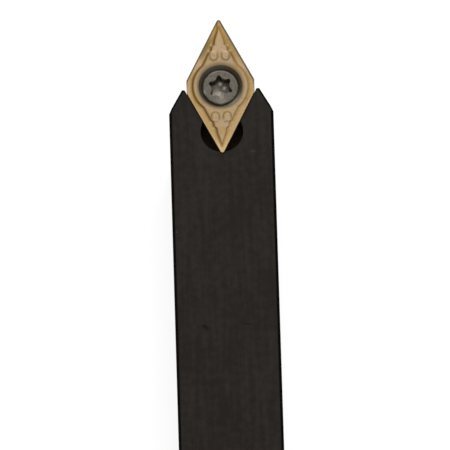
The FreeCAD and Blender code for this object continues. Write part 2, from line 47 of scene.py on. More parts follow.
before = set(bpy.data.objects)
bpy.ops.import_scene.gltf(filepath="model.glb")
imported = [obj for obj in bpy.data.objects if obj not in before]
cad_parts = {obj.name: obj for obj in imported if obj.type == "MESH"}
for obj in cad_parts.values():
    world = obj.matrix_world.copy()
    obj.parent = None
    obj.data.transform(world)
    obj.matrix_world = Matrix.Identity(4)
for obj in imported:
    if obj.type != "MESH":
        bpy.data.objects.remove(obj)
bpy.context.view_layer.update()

MM = 0.001
INSERT_LOW, INSERT_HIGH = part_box("cutting_insert")
SCREW_LOW, SCREW_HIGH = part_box("clamp_screw")
HOLDER_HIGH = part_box("holder_body")[1]
AXIS_Y = (INSERT_LOW.y + INSERT_HIGH.y) / 2  # the insert and its screw share this upright axis
SEAT_Z = INSERT_LOW.z
TOP_Z = HOLDER_HIGH.z
HALF_NOSE = math.radians(27.5)
COS_NOSE, SIN_NOSE = math.cos(HALF_NOSE), math.sin(HALF_NOSE)
CONE = math.radians(30)  # lean of the bore's mouth and of the screw's head from their axis
LOBES = 6
FLANK = math.radians(30)  # turn of the flanks of the bar's head from its sides
SHOULDER_Y = AXIS_Y - 2.55 * MM  # where the flanks begin to close in

# Outline of a tongue of the plateau, in millimetres: distance from the axis and half the width.
TONGUE = ((1.166, 2.153), (3.42, 1.016), (3.52, 0.850), (4.04, 0.730),
          (4.14, 0.530), (4.60, 0.470), (5.40, 0.210), (6.05, 0.0))
# Outer corners of a tongue's two steps, in millimetres: across and along from the axis.
STEP_CORNERS = ((0.78, 4.13), (1.04, 3.60))

# Marks on the bar's top: place across and along it, half width and half length in millimetres,
# and turn in degrees. The dark ones are a pit and a scratch, and the rubbed ones two specks.
DARK_MARKS = ((-2.12, 4.47, 0.52, 0.3, -38.0), (1.85, 4.65, 0.8, 0.09, -4.0))
RUBBED_MARKS = ((-4.58, 13.96, 0.16, 0.12, 0.0), (2.93, 21.78, 0.35, 0.12, 0.0))

# Painted glints on the floor of the screw's recess, in millimetres from the axis: bright spots that
# stand in for reflections.
GLINT_SPOTS = ((-0.02, 0.62), (0.36, 0.22))

# Lamps: name, place from the top of the insert's axis and width in metres, power in watts.
LAMPS = (("lamp_key", (0.06, 0.38, 0.50), 0.2, 1.95),
         ("lamp_side", (-0.5, 0.2, 0.3), 0.4, 0.2))


# Settings
def length(name, description, default):
    """A length property in metres, whose default is written in millimetres."""
    return FloatProperty(name=name, description=description, default=default * MM,
                         min=0.0, precision=5, unit="LENGTH", subtype="DISTANCE")


def degrees(name, description, default):
    """An angle property, whose default is written in degrees."""
    return FloatProperty(name=name, description=description, default=math.radians(default),
                         subtype="ANGLE", unit="ROTATION")


def colour(name, description, default):
    """A colour property."""
    return FloatVectorProperty(name=name, description=description, default=default,
                               size=3, min=0.0, max=1.0, subtype="COLOR")


def share(name, description, default):
    """A property between nothing and all."""
    return FloatProperty(name=name, description=description, default=default,
                         min=0.0, max=1.0, subtype="FACTOR")


class HolderSettings(bpy.types.PropertyGroup):
    """Finish of the black bar."""

    tint: colour("Oxide", "Colour of the black oxide", (0.0095, 0.0078, 0.0066))
    worn: colour("Rubbed oxide", "Colour where the oxide is rubbed thin", (0.021, 0.0175, 0.015))
    # The edge colour is painted shade on the bar's bevels, and the real colour of the pit and scratch.
    edge: colour("Edges", "Colour of the bevels and dark marks", (0.001, 0.0009, 0.0007))
    speck: colour("Specks", "Colour of the rubbed specks", (0.06, 0.05, 0.045))
    # Painted light: a lighter brown that brightens the shaded relief under the insert's rear tip.
    oil: colour("Oil", "Colour of the oil in the relief under the insert", (0.07, 0.052, 0.03))
    # Painted shade: a dark line on the bar against the insert's sides.
    gap_shade: colour("Film", "Colour of the thin line of oil beside the insert", (0.007, 0.004, 0.001))
    roughness: share("Roughness", "Roughness of the oxide", 0.5)
    gloss: share("Gloss", "Strength of the oxide's reflections", 0.1)


class InsertSettings(bpy.types.PropertyGroup):
    """Form and finish of the pressed cutting insert."""

    circle: length("Inscribed circle", "Radius of the circle that touches the four sides", 3.175)
    corner_flat: length("Corner flat", "Half the length of the flat on each wide corner", 0.625)
    nose: length("Nose radius", "Radius of the cutting nose", 0.2)
    thickness: length("Thickness", "From the seat to the cutting edge", 2.38)
    drop: length("Relief", "How far the underside's outline lies inside the top's", 0.292)
    hone: length("Hone", "Rounding of the cutting edge", 0.03)
    land: length("Land", "Flat land behind the cutting edge", 0.07)
    groove_reach: length("Groove reach", "From the cutting edge to the groove's bottom", 0.65)
    groove_depth: length("Groove depth", "Depth of the chip groove", 0.12)
    plateau: length("Plateau", "Radius of the round plateau at its foot", 2.68)
    wall_run: length("Plateau wall", "Width of the plateau's leaning wall", 0.085)
    bump_height: length("Bump height", "Height of the chip bumps", 0.05)
    bump_width: length("Bump width", "Half the width of a chip bump", 0.37)
    bump_length: length("Bump length", "Length of a chip bump", 1.0)
    bump_side: length("Bump side", "From the middle line to the middle of a bump", 0.57)
    bump_front: length("Bump front", "From the axis to the front of the bumps", 3.596)
    bump_slope: length("Bump slope", "Width of the slopes of a bump", 0.13)
    bore: length("Bore", "Radius of the bore", 1.4)
    mouth: length("Mouth", "Radius of the bore's conical mouth", 2.1)
    coating: colour("Coating", "Colour of the gold coating", (0.405, 0.265, 0.095))
    pale: colour("Pale clouds", "Colour of the coating's pale clouds", (0.46, 0.32, 0.20))
    dusky: colour("Dark clouds", "Colour of the coating's dark clouds", (0.22, 0.16, 0.06))
    amber: colour("Patches", "Colour of the coating's larger patches", (0.40, 0.25, 0.06))
    tips: colour("Tips", "Colour of the richer coating towards the two noses", (0.56, 0.355, 0.105))
    plain: colour("Plateau", "Colour of the plateau, where the coating is paler", (0.435, 0.308, 0.178))
    # Painted shade: brown along the foot of the plateau's wall and round the backs of the bumps.
    groove_shade: colour("Hollows", "Colour of the coating down in the groove", (0.15, 0.08, 0.006))
    # Painted shade: a dark line along the cutting edge and at the front nose.
    rubbed: colour("Edge", "Colour along the worn cutting edge", (0.10, 0.078, 0.05))
    # Painted highlights: pale coating on the bump fronts, steps, rims, corners and beside the groove's
    # wall.
    bright: colour("Highlights", "Colour of the crests, where the coating is thin", (0.66, 0.475, 0.305))
    # Painted shade: a darker olive band inside the front half of the left edge.
    shade: colour("Shade", "Colour of the stained band beside the left edge", (0.2, 0.145, 0.055))
    # Painted shade down the bore and its conical mouth, reaching a little out over the plateau.
    bore_shade: colour("Mouth", "Colour inside the bore", (0.07, 0.057, 0.034))
    # Painted reflection: lighter grey on two sides of the mouth's cone.
    slate: colour("Slate", "Colour of the bore's mouth where it is rubbed", (0.3, 0.27, 0.215))
    roughness: share("Roughness", "Roughness of the coating", 0.58)
    metal: share("Metal", "How metallic the coating looks", 0.22)


class ScrewSettings(bpy.types.PropertyGroup):
    """Form and finish of the clamp screw."""

    head: length("Head", "Radius of the head", 1.75)
    rim: length("Rim", "Height of the head's upright rim", 0.25)
    bevel: length("Rounding", "Rounding of the head's top edge", 0.18)
    thread: length("Thread", "Radius of the thread's crests", 1.25)
    pitch: length("Pitch", "Advance of the thread in one turn", 0.45)
    thread_depth: length("Thread depth", "Depth of the thread", 0.24)
    tip_bevel: length("Tip bevel", "Bevel at the screw's tip", 0.4)
    lobe_reach: length("Lobe reach", "From the axis to the end of a lobe", 1.17)
    waist: length("Waist", "From the axis to the hollow between two lobes", 0.85)
    lobe: length("Lobe radius", "Radius of a lobe's end", 0.19)
    recess_depth: length("Recess depth", "Depth of the six-lobe recess", 1.05)
    recess_point: length("Recess point", "Depth of the cone in the recess's floor", 0.15)
    turn: degrees("Turn", "Turn of the recess from the +X axis", 38)
    # The recess's floor is painted as lit away from this direction and as in shadow towards it.
    shaded_side: degrees("Rubbed side", "Direction, from the +X axis, that points away from the "
                         "rubbed part of the recess's floor", 30)
    steel: colour("Steel", "Colour of the phosphated head", (0.06, 0.055, 0.04))
    worn: colour("Worn steel", "Colour where the phosphate is worn", (0.13, 0.118, 0.096))
    # Painted shade in the recess, in the gap round the head and at the foot of its rim.
    soil: colour("Soil", "Colour of the oil and dust in the corners", (0.042, 0.035, 0.022))
    # Painted highlights: patches round the head's rounded rim.
    rim_highlights: colour("Gleam", "Colour of the worn patches round the head's rim", (0.22, 0.22, 0.2))
    # Painted light: the lit part of the recess's floor, two highlights on the rim and one on the near
    # side of the head's top.
    lit_steel: colour("Bare steel", "Colour where the driver has rubbed the head", (0.27, 0.23, 0.2))
    # Painted glints: bright spots in the recess that stand in for reflections.
    polish: colour("Polish", "Colour of the polished spots in the recess", (0.8, 0.78, 0.68))
    roughness: share("Roughness", "Roughness of the head", 0.45)


class StageSettings(bpy.types.PropertyGroup):
    """Floor, sky and camera."""

    floor_radius: length("Floor", "Radius of the floor", 3000)
    lens: length("Lens", "Focal length of the camera", 872)
    distance: length("Distance", "From the camera to the middle of its view", 1040)
    elevation: degrees("Elevation", "Camera's height above the horizon", 74.0)
    roll: degrees("Roll", "Lean of the object in the picture", 1.745)
    aim_right: length("Aim right", "Middle of the view, right of the insert's axis", 0.03)
    aim_back: length("Aim back", "Middle of the view, behind the insert's axis", 13.84)
    sky: share("Sky", "Strength of the even light from all round", 0.45)


# Curves
def smooth_step(value):
    """Ease from 0 to 1 with level ends."""
    value = np.clip(value, 0.0, 1.0)
    return value * value * (3.0 - 2.0 * value)


def rise(distance, start, width):
    """0 up to the start, easing to 1 over the width beyond it."""
    return smooth_step((distance - start) / width)


def fade(distance, start, width):
    """1 up to the start, easing to 0 over the width beyond it."""
    return 1.0 - rise(distance, start, width)


def hill(distance, width):
    """A bell that is 1 at no distance and has faded at about twice the width."""
    return np.exp(-(distance / width) ** 2)


def direction_hill(angle, middle, width):
    """A bell round a direction, whose middle and width are in degrees."""
    off = np.angle(np.exp(1j * (angle - math.radians(middle))))
    return hill(off, math.radians(width))


def soft_max(first, second, blend):
    """The larger of two heights, rounded over the blend where they cross."""
    gap = np.maximum(blend - np.abs(first - second), 0.0) / blend
    return np.maximum(first, second) + gap * gap * blend / 4.0


def ring(angle, radius):
    """Points at these angles round the axis; the radius is one for all or one for each."""
    reach = np.broadcast_to(radius, len(angle))
    return np.stack([np.cos(angle), np.sin(angle)], axis=1) * reach[:, None]


# Meshes
class Skin:
    """A piece's skin as rings of points, with the shares of its finishes at each point."""

    def __init__(self, *finishes):
        self.rings = []
        self.shares = {name: [] for name in finishes}

    def add(self, points, height, **shares):
        """One more ring: its points seen from above, its height, and its shares where not 0."""
        count = len(points)
        self.rings.append(np.column_stack([points, np.broadcast_to(height, count)]))
        for name, values in self.shares.items():
            values.append(np.broadcast_to(shares.get(name, 0.0), count))


def ring_quads(rows, columns, closed):
    """Quads of a grid of points whose every row is a ring; closed joins the last row to the first."""
    row, column = np.meshgrid(np.arange(rows if closed else rows - 1), np.arange(columns),
                              indexing="ij")
    beside, above = (column + 1) % columns, (row + 1) % rows
    corners = [row * columns + column, row * columns + beside,
               above * columns + beside, above * columns + column]
    return np.stack(corners, axis=-1).reshape(-1, 4)


def end_fans(rows, columns):
    """Triangles from a grid's first and last rings to two more points that follow the grid's."""
    here = np.arange(columns)
    beside = (here + 1) % columns
    last = (rows - 1) * columns
    first_fan = np.stack([beside, here, np.full(columns, rows * columns)], axis=1)
    last_fan = np.stack([last + here, last + beside, np.full(columns, rows * columns + 1)], axis=1)
    return np.concatenate([first_fan, last_fan])


def make_piece(name, points, faces):
    """A mesh object at the origin, with smooth faces that break where they turn sharply."""
    mesh = bpy.data.meshes.new(name)
    mesh.from_pydata(points.tolist(), [], faces)
    mesh.update()
    mesh.shade_smooth()
    mesh.set_sharp_from_angle(angle=math.radians(40))
    piece = bpy.data.objects.new(name, mesh)
    bpy.context.scene.collection.objects.link(piece)
    return piece


def wrap_skin(name, skin, ends=()):
    """The piece with this skin, standing on the seat round the insert's axis. Its last ring joins
    its first, or, where the heights of two ends are given, fans close its first and last rings."""
    rings = np.array(skin.rings)
    rows, columns = rings.shape[:2]
    points = rings.reshape(-1, 3)
    faces = ring_quads(rows, columns, closed=not ends).tolist()
    if ends:
        points = np.concatenate([points, [(0.0, 0.0, height) for height in ends]])
        faces += end_fans(rows, columns).tolist()
    piece = make_piece(name, points + (0.0, AXIS_Y, SEAT_Z), faces)
    for finish, shares in skin.shares.items():
        values = np.append(np.ravel(shares), np.zeros(len(ends)))
        attribute = piece.data.attributes.new(finish, "FLOAT", "POINT")
        attribute.data.foreach_set("value", values.astype(np.float32))
    return piece


# Insert
def corner_line(circle, flat):
    """Distance from the axis to the flats that cut off the wide corners."""
    return (circle - flat * SIN_NOSE) / COS_NOSE


def diamond(circle, corner_x, nose):
    """Closed outline of the insert: four sides that touch the circle, a rounded nose at each
    narrow corner and a flat at each wide one.

    Each corner is an arc whose normals turn from one side's to the next, and each side is a
    straight run from the end of one arc to the start of the next, with evenly spaced points."""
    nose_y = (circle - nose) / SIN_NOSE
    bend = 0.12 * MM
    bend_x = corner_x - bend
    bend_y = (circle - bend - bend_x * COS_NOSE) / SIN_NOSE
    side = HALF_NOSE
    nose_points, bend_points, side_points, flat_points = 28, 6, 100, 20
    arcs = [
        (0.0, nose_y, nose, math.pi - side, side, nose_points),
        (bend_x, bend_y, bend, side, 0.0, bend_points),
        (bend_x, -bend_y, bend, 0.0, -side, bend_points),
        (0.0, -nose_y, nose, -side, side - math.pi, nose_points),
        (-bend_x, -bend_y, bend, side - math.pi, -math.pi, bend_points),
        (-bend_x, bend_y, bend, math.pi, math.pi - side, bend_points),
    ]
    runs = [side_points, flat_points, side_points] * 2
    curves = []
    for x, y, radius, start, end, count in arcs:
        curves.append(ring(np.linspace(start, end, count), radius) + (x, y))
    pieces = []
    for number, (curve, count) in enumerate(zip(curves, runs)):
        following = curves[(number + 1) % len(curves)][0]
        along = np.linspace(0.0, 1.0, count + 1)[1:-1, None]
        pieces += [curve, curve[-1] * (1.0 - along) + following * along]
    return np.concatenate(pieces)[::-1]


FacePlace = namedtuple("FacePlace", "x y across along inward inside within")


def face_place(s, x, y):
    """Where points lie on the pressed face: their place from the axis, signed and unsigned, and
    their distances in from the cutting edge, from the plateau's outline and from a bump's.

    The edge is the nearer of a side and a wide corner's flat. The plateau is a disc joined with
    two tongues that widen in two steps. A bump is straight-fronted and round-backed."""
    across, along = np.abs(x), np.abs(y)
    inward = np.minimum(s.circle - across * COS_NOSE - along * SIN_NOSE,
                        corner_line(s.circle, s.corner_flat) - across)
    reach, half_width = np.array(TONGUE).T * MM
    tongue = np.interp(along, reach, half_width, right=-MM)
    inside = np.maximum(s.plateau - np.hypot(x, y), (tongue - across) * COS_NOSE)
    back = s.bump_front - s.bump_length + s.bump_width
    to_spine = np.hypot(across - s.bump_side, np.minimum(along - back, 0.0))
    within = np.minimum(s.bump_width - to_spine, s.bump_front - along)
    return FacePlace(x, y, across, along, inward, inside, within)


def face_height(s, place):
    """Height of the pressed face above the cutting edge.

    The groove falls from the land to its depth in proportion to the distance from the edge. The
    plateau rises over the width of its wall, and the bumps stand on it with even slopes."""
    fall = np.clip((place.inward - s.land) / (s.groove_reach - s.land), 0.0, 1.0)
    raised = s.groove_depth * (np.clip(place.inside / s.wall_run, -1.0, 1.0) - 1.0)
    bump = s.bump_height * smooth_step(place.within / s.bump_slope)
    return soft_max(-s.groove_depth * fall, raised, 0.012 * MM) + bump


def face_finishes(s, place):
    """Shares of the pressed face's finishes, worked out in millimetres.

    The groove's brown is painted shade along the foot of the plateau's wall, more so on the left,
    round the backs of the bumps, and on from the front tongue's left foot to the nose. The painted
    highlights are listed with what each one is. The front half's edge has a painted dark line, with
    an olive band of painted shade inside its left side, and the mouth's painted shade reaches a
    little way out over the plateau."""
    x, y, across, along, inward, inside, within = (part / MM for part in place)
    bump_side, bump_front = s.bump_side / MM, s.bump_front / MM
    flat_line = corner_line(s.circle, s.corner_flat) / MM
    raised = smooth_step(place.inside / s.wall_run)
    low = 1.0 - raised
    left = 0.5 - 0.5 * np.tanh(x / 0.3)
    right = 1.0 - left
    front = rise(y, -0.4, 1.2)
    margin = fade(inward, 0.12 - 0.03 * left, 0.1)
    # The front nose carries both a painted dark line and a painted highlight.
    nose_tip = rise(y, 6.25, 0.25)
    # Painted shade of the groove: along the wall's foot, stronger on the left, round the backs of the
    # bumps and on to the nose.
    foot_line = hill(inside, 0.145) * (left + right * (0.25 + 0.5 * hill(y - 3.0, 1.3)))
    tip_line = 0.8 * hill(x + 0.16, 0.09) * rise(y, 5.3, 0.2)
    back_line = 0.65 * hill(within + 0.02, 0.09) * smooth_step((bump_front - along) / 0.5)
    bump_highlight = hill(along - bump_front + 0.13, 0.15) * hill(across - bump_side, 0.36)
    rear_band = 0.12 + 0.25 * right * fade(inward, 0.35, 0.2)
    # Painted highlights, each listed with its place.
    crests = {
        "fronts of the front bumps": 0.6 * front * bump_highlight,
        "rims of the rear half": 0.38 * (1.0 - front) * margin,
        "wide corners": 0.4 * rise(across, flat_line - 0.6, 0.4),
        "shoulders": hill(y - 2.2, 0.8) * low * (1.0 - foot_line) * (0.5 + 0.2 * left),
        "rear band": rise(-y, 1.5, 0.8) * low * rear_band,
        "rear nose": 0.75 * rise(-y, 5.0, 1.0) * fade(inward, 0.22, 0.14),
        "groove beside the wall": 0.9 * hill(inside + 0.24, 0.11) * hill(y - 2.0, 0.95),
        "front tongue": 0.2 * raised * rise(y, 3.2, 0.6),
        "front nose": 0.35 * nose_tip,
    }
    for step_across, step_along in STEP_CORNERS:
        to_step = np.hypot(across - step_across, along - step_along)
        crests[f"step at {step_along}"] = 0.65 * hill(to_step, 0.11)
    # Painted shade in an olive band inside the left edge's front half.
    shaded = left * rise(y, 2.4, 0.5) * fade(y, 4.2, 1.0) * fade(inward, 0.36, 0.08)
    # The mouth's painted shade reaches out over the plateau this far.
    halo = 0.36 + 0.2 * smooth_step(y * MM / s.plateau)
    return {
        "groove": np.maximum.reduce([foot_line, tip_line, back_line]),
        "plateau": raised,
        "tips": rise(along, 4.4, 1.4),
        # A painted dark line along the front half's edge and at the front nose.
        "edge": np.maximum(front * margin, 0.5 * nose_tip),
        "painted_highlight": np.maximum.reduce(list(crests.values())),
        "shade": shaded,
        "mouth": 0.7 * fade(np.hypot(x, y), s.mouth / MM, halo),
    }


def insert_skin(s):
    """The insert's closed skin, ring by ring about its bore.

    In order: out along the underside, up the leaning side, round the honed edge, in over the
    pressed face, down the mouth's cone and the bore. Rings between two curves are straight
    blends of them, and the pressed face takes its height from face_height."""
    skin = Skin("groove", "plateau", "tips", "edge", "painted_highlight", "shade", "mouth", "slate")
    corner_x = corner_line(s.circle, s.corner_flat)
    under = diamond(s.circle - s.drop, corner_x - s.drop, s.nose / 4)
    edge = diamond(s.circle, corner_x, s.nose)
    land = diamond(s.circle - s.hone, corner_x - s.hone, s.nose - s.hone)
    angle = np.arctan2(land[:, 1], land[:, 0])
    top = s.thickness
    bore_bevel, under_bevel, lip = 0.12 * MM, 0.03 * MM, 0.03 * MM
    flat_share = 0.99  # the flat of the underside ends this far out towards its outline
    for part in np.linspace(0.0, 1.0, 4):
        inner = ring(angle, s.bore + bore_bevel)
        skin.add(inner * (1.0 - part) + under * flat_share * part, 0.0, plateau=1.0)
    # The top of the side and the honed edge carry the painted dark line of the cutting edge.
    for part in np.linspace(0.0, 1.0, 8):
        height = under_bevel + (top - s.hone - under_bevel) * part
        lean = height / top
        skin.add(under * (1.0 - lean) + edge * lean, height, edge=float(part == 1.0))
    for lean in np.linspace(0.0, math.pi / 2, 5)[1:]:
        part = 1.0 - math.cos(lean)
        height = top - s.hone * (1.0 - math.sin(lean))
        skin.add(edge * (1.0 - part) + land * part, height, edge=1.0)
    mouth = ring(angle, s.mouth + lip)
    for part in np.linspace(0.0, 1.0, 119)[1:]:
        points = land * (1.0 - part) + mouth * part
        place = face_place(s, points[:, 0], points[:, 1])
        skin.add(points, top + face_height(s, place), **face_finishes(s, place))
    # The lip, the mouth's cone and the bore carry the mouth's painted shade.
    skin.add(ring(angle, s.mouth + lip * 0.3), top - lip * 0.2, plateau=1.0, mouth=0.8)
    foot = top - (s.mouth - s.bore) / math.tan(CONE)
    # Painted reflection: lighter grey on two sides of the mouth's dark cone.
    slate = 0.25 * direction_hill(angle, 105, 40) + direction_hill(angle, -48, 24)
    for part in np.linspace(0.03, 1.0, 8):
        skin.add(ring(angle, s.mouth + (s.bore - s.mouth) * part), top + (foot - top) * part,
                 mouth=1.0, slate=slate)
    for height in (foot / 2, bore_bevel):
        skin.add(ring(angle, s.bore), height, mouth=1.0)
    return skin


# Screw
def recess_radius(s, angle):
    """Radius of the six-lobe recess at an angle: the far crossing of the ray with the nearest
    lobe's circle, or else its near crossing with the flute's circle beside it."""
    step = math.pi / LOBES
    far = s.lobe_reach - s.lobe
    flute = ((far ** 2 + s.waist ** 2 - 2 * far * s.waist * math.cos(step) - s.lobe ** 2)
             / (2 * (s.lobe - s.waist + far * math.cos(step))))
    flute_far = s.waist + flute
    joint_lean = math.asin(flute_far * math.sin(step) / (s.lobe + flute))
    joint = math.atan2(s.lobe * math.sin(joint_lean), far + s.lobe * math.cos(joint_lean))
    local = np.abs((angle - s.turn + step) % (2 * step) - step)
    lobe_part = np.clip(s.lobe ** 2 - (far * np.sin(local)) ** 2, 0.0, None)
    on_lobe = far * np.cos(local) + np.sqrt(lobe_part)
    side = step - local
    flute_part = np.clip(flute ** 2 - (flute_far * np.sin(side)) ** 2, 0.0, None)
    on_flute = flute_far * np.cos(side) - np.sqrt(flute_part)
    return np.where(local < joint, on_lobe, on_flute)


def add_thread(s, skin, angle, tip, neck):
    """Rings from the screw's tip to its neck. The radius rises and falls with the height less
    the angle's share of the pitch, inside the tip's bevel, and the thread fades below the neck."""
    tip_radius = s.thread - s.tip_bevel
    for radius in (0.3 * MM, tip_radius):
        skin.add(ring(angle, radius), tip)
    run_out = neck - 0.25 * MM
    for height in np.arange(tip + 0.05 * MM, neck, 0.045 * MM):
        wave = np.abs(((height / s.pitch - angle / (2 * math.pi)) % 1.0) * 2.0 - 1.0)
        depth = s.thread_depth * (1.0 - np.clip(wave * 1.25 - 0.1, 0.0, 1.0))
        radius = s.thread - depth * smooth_step((run_out - height) / (0.3 * MM))
        skin.add(ring(angle, np.minimum(radius, tip_radius + (height - tip))), height)
    skin.add(ring(angle, s.thread), neck)


def add_head(s, skin, angle, neck, top):
    """Rings up the head's cone and its upright rim, round the rim and in over the flat top to the
    six-lobe outline, of which they are straight blends."""
    rim_foot = top - s.rim
    # Painted shade in the gap between the head and the insert's mouth.
    for part in (0.33, 0.66, 0.97):
        skin.add(ring(angle, s.thread + (s.head - s.thread) * part),
                 neck + (rim_foot - neck) * part, soil=0.5)
    skin.add(ring(angle, s.head), rim_foot + 0.03 * MM, soil=0.8)
    # Painted highlights round the rim in two directions, where the painted shade is lifted.
    rubbed = direction_hill(angle, -90, 16) + 0.7 * direction_hill(angle, 112, 22)
    for lean in np.linspace(0.0, math.pi / 2, 8):
        skin.add(ring(angle, s.head - s.bevel * (1.0 - math.cos(lean))),
                 top - s.bevel * (1.0 - math.sin(lean)),
                 soil=0.6 * math.cos(lean) * (1.0 - rubbed), rim=1.0, floor=0.8 * rubbed)
    outline = recess_radius(s, angle)
    broken_edge = 0.04 * MM
    for part in np.linspace(0.1, 1.0, 10):
        reach = (s.head - s.bevel) * (1.0 - part) + (outline + broken_edge) * part
        points = ring(angle, reach)
        # A painted highlight on the near side of the head's top.
        off_patch = np.hypot(points[:, 0] - 0.05 * MM, points[:, 1] + 1.4 * MM)
        skin.add(points, top, floor=0.55 * hill(off_patch, 0.5 * MM))
    # Painted shade round the mouth of the recess.
    skin.add(ring(angle, outline + broken_edge * 0.3), top - broken_edge * 0.3, soil=0.3)


def add_recess(s, skin, angle, top):
    """Rings down the walls of the recess, which close in by a fiftieth and carry painted shade, and
    in over its conical floor, painted as lit on one side and as in shadow on the other, with two
    painted glints. Gives the height of its point."""
    outline = recess_radius(s, angle)
    floor = top - s.recess_depth
    for part in np.linspace(0.05, 1.0, 10):
        # Painted shade on the walls of the recess.
        skin.add(ring(angle, outline * (1.0 - 0.02 * part)), top + (floor - top) * part, soil=0.9)
    for part in (0.96, 0.9, 0.82, 0.75, 0.68, 0.6, 0.5, 0.38, 0.25):
        points = ring(angle, outline * part)
        low = np.clip((s.waist - outline * part) / s.waist, 0.0, 1.0)
        # The floor gets painted shade near the walls, painted light away from the shaded side and
        # painted shadow towards it.
        away = outline * part * np.cos(angle - s.shaded_side)
        # Painted glints round the listed spots.
        off_spots = [np.hypot(points[:, 0] - x * MM, points[:, 1] - y * MM) for x, y in GLINT_SPOTS]
        skin.add(points, floor - s.recess_point * low, soil=rise(part, 0.8, 0.15),
                 floor=fade(away, -0.4 * MM, 0.9 * MM),
                 polish=hill(np.minimum.reduce(off_spots), 0.15 * MM))
    return floor - s.recess_point


def screw_skin(s):
    """The screw's skin, ring by ring from its tip to the middle of its recess, and the heights
    of its two ends."""
    skin = Skin("soil", "rim", "floor", "polish")
    angle = np.linspace(0.0, 2 * math.pi, 288, endpoint=False)
    tip, top = SCREW_LOW.z - SEAT_Z, SCREW_HIGH.z - SEAT_Z
    neck = top - s.rim - (s.head - s.thread) / math.tan(CONE)
    add_thread(s, skin, angle, tip, neck)
    add_head(s, skin, angle, neck, top)
    point = add_recess(s, skin, angle, top)
    return skin, (tip, point)


# Materials
class Nodes:
    """Short words for building one material's nodes."""

    def __init__(self, name):
        self.material = bpy.data.materials.new(name)
        self.material.use_nodes = True
        self.tree = self.material.node_tree
        self.tree.nodes.clear()

    def add(self, kind, **settings):
        """A node with its properties set."""
        node = self.tree.nodes.new(kind)
        for key, value in settings.items():
            setattr(node, key, value)
        return node

    def link(self, source, target):
        """Join an output to an input."""
        self.tree.links.new(source, target)

    def object_place(self):
        """Place on the object, whose axes are the whole part's."""
        return self.add("ShaderNodeTexCoord").outputs["Object"]

    def object_axes(self):
        """The three numbers of the place on the object."""
        split = self.add("ShaderNodeSeparateXYZ")
        self.link(self.object_place(), split.inputs[0])
        return split.outputs

    def noise(self, scale, detail):
        """Noise on the object, with so many grains to the metre along each axis."""
        mapping = self.add("ShaderNodeMapping")
        mapping.inputs["Scale"].default_value = scale
        self.link(self.object_place(), mapping.inputs["Vector"])
        node = self.add("ShaderNodeTexNoise")
        node.inputs["Scale"].default_value = 1.0
        node.inputs["Detail"].default_value = detail
        node.inputs["Roughness"].default_value = 0.55
        self.link(mapping.outputs["Vector"], node.inputs["Vector"])
        return node.outputs["Fac"]

    def attribute(self, name, strength=1.0):
        """A share stored on the mesh, times a strength."""
        value = self.add("ShaderNodeAttribute", attribute_name=name).outputs["Fac"]
        return value if strength == 1.0 else self.math("MULTIPLY", value, strength)

    def ramp(self, value, low, high, start=0.0, end=1.0):
        """The value carried from low..high to start..end, and held there outside."""
        node = self.add("ShaderNodeMapRange")
        self.link(value, node.inputs["Value"])
        for socket, number in zip(("From Min", "From Max", "To Min", "To Max"),
                                  (low, high, start, end)):
            node.inputs[socket].default_value = number
        return node.outputs["Result"]

    def feed(self, value, socket):
        """Give an input an output to follow, or a constant."""
        if isinstance(value, bpy.types.NodeSocket):
            self.link(value, socket)
        else:
            socket.default_value = value

    def mix(self, factor, first, second):
        """Two colours mixed by an output; each is an output or three numbers."""
        node = self.add("ShaderNodeMix", data_type="RGBA")
        self.link(factor, node.inputs[0])
        for socket, value in ((node.inputs[6], first), (node.inputs[7], second)):
            is_output = isinstance(value, bpy.types.NodeSocket)
            self.feed(value if is_output else (*value, 1.0), socket)
        return node.outputs[2]

    def coats(self, tone, *coats):
        """A colour with coats laid over it in turn, each a strength and a colour."""
        for strength, coat in coats:
            tone = self.mix(strength, tone, coat)
        return tone

    def math(self, operation, first, second):
        """One sum of two outputs or numbers."""
        node = self.add("ShaderNodeMath", operation=operation)
        for socket, value in zip(node.inputs, (first, second)):
            self.feed(value, socket)
        return node.outputs[0]

    def bump(self, height, strength, distance):
        """A bump of so many metres where the height is 1."""
        node = self.add("ShaderNodeBump")
        node.inputs["Strength"].default_value = strength
        node.inputs["Distance"].default_value = distance
        self.link(height, node.inputs["Height"])
        return node.outputs["Normal"]

    def surface(self, **inputs):
        """The finished material, whose shader's inputs are outputs or constants."""
        shader = self.add("ShaderNodeBsdfPrincipled")
        for name, value in inputs.items():
            self.feed(value, shader.inputs[name.replace("_", " ")])
        output = self.add("ShaderNodeOutputMaterial")
        self.link(shader.outputs["BSDF"], output.inputs["Surface"])
        return self.material


def bar_edges(nodes):
    """1 on the bevels along the bar's top and underside and round the top of its head, seen as
    points near both a side or flank and one of the two flat faces; 0 elsewhere. The band round
    the head is 0.1 mm narrower. It places the bevels' painted shade."""
    bevel, blur = 0.23 * MM, 0.08 * MM
    x, y, z = nodes.object_axes()
    to_side = nodes.math("SUBTRACT", HOLDER_HIGH.x, nodes.math("ABSOLUTE", x, 0.0))
    beyond = nodes.math("SUBTRACT", y, SHOULDER_Y + 0.2 * MM)
    to_flank = nodes.math("SUBTRACT", nodes.math("MULTIPLY", to_side, math.cos(FLANK)),
                          nodes.math("MULTIPLY", beyond, math.sin(FLANK)))
    beside = nodes.ramp(nodes.math("MINIMUM", to_side, to_flank), bevel, bevel + blur, 1.0, 0.0)
    off_middle = nodes.math("ABSOLUTE", nodes.math("SUBTRACT", z, TOP_Z / 2), 0.0)
    flat_end = TOP_Z / 2 - bevel
    return nodes.math("MULTIPLY", beside, nodes.ramp(off_middle, flat_end - blur, flat_end))


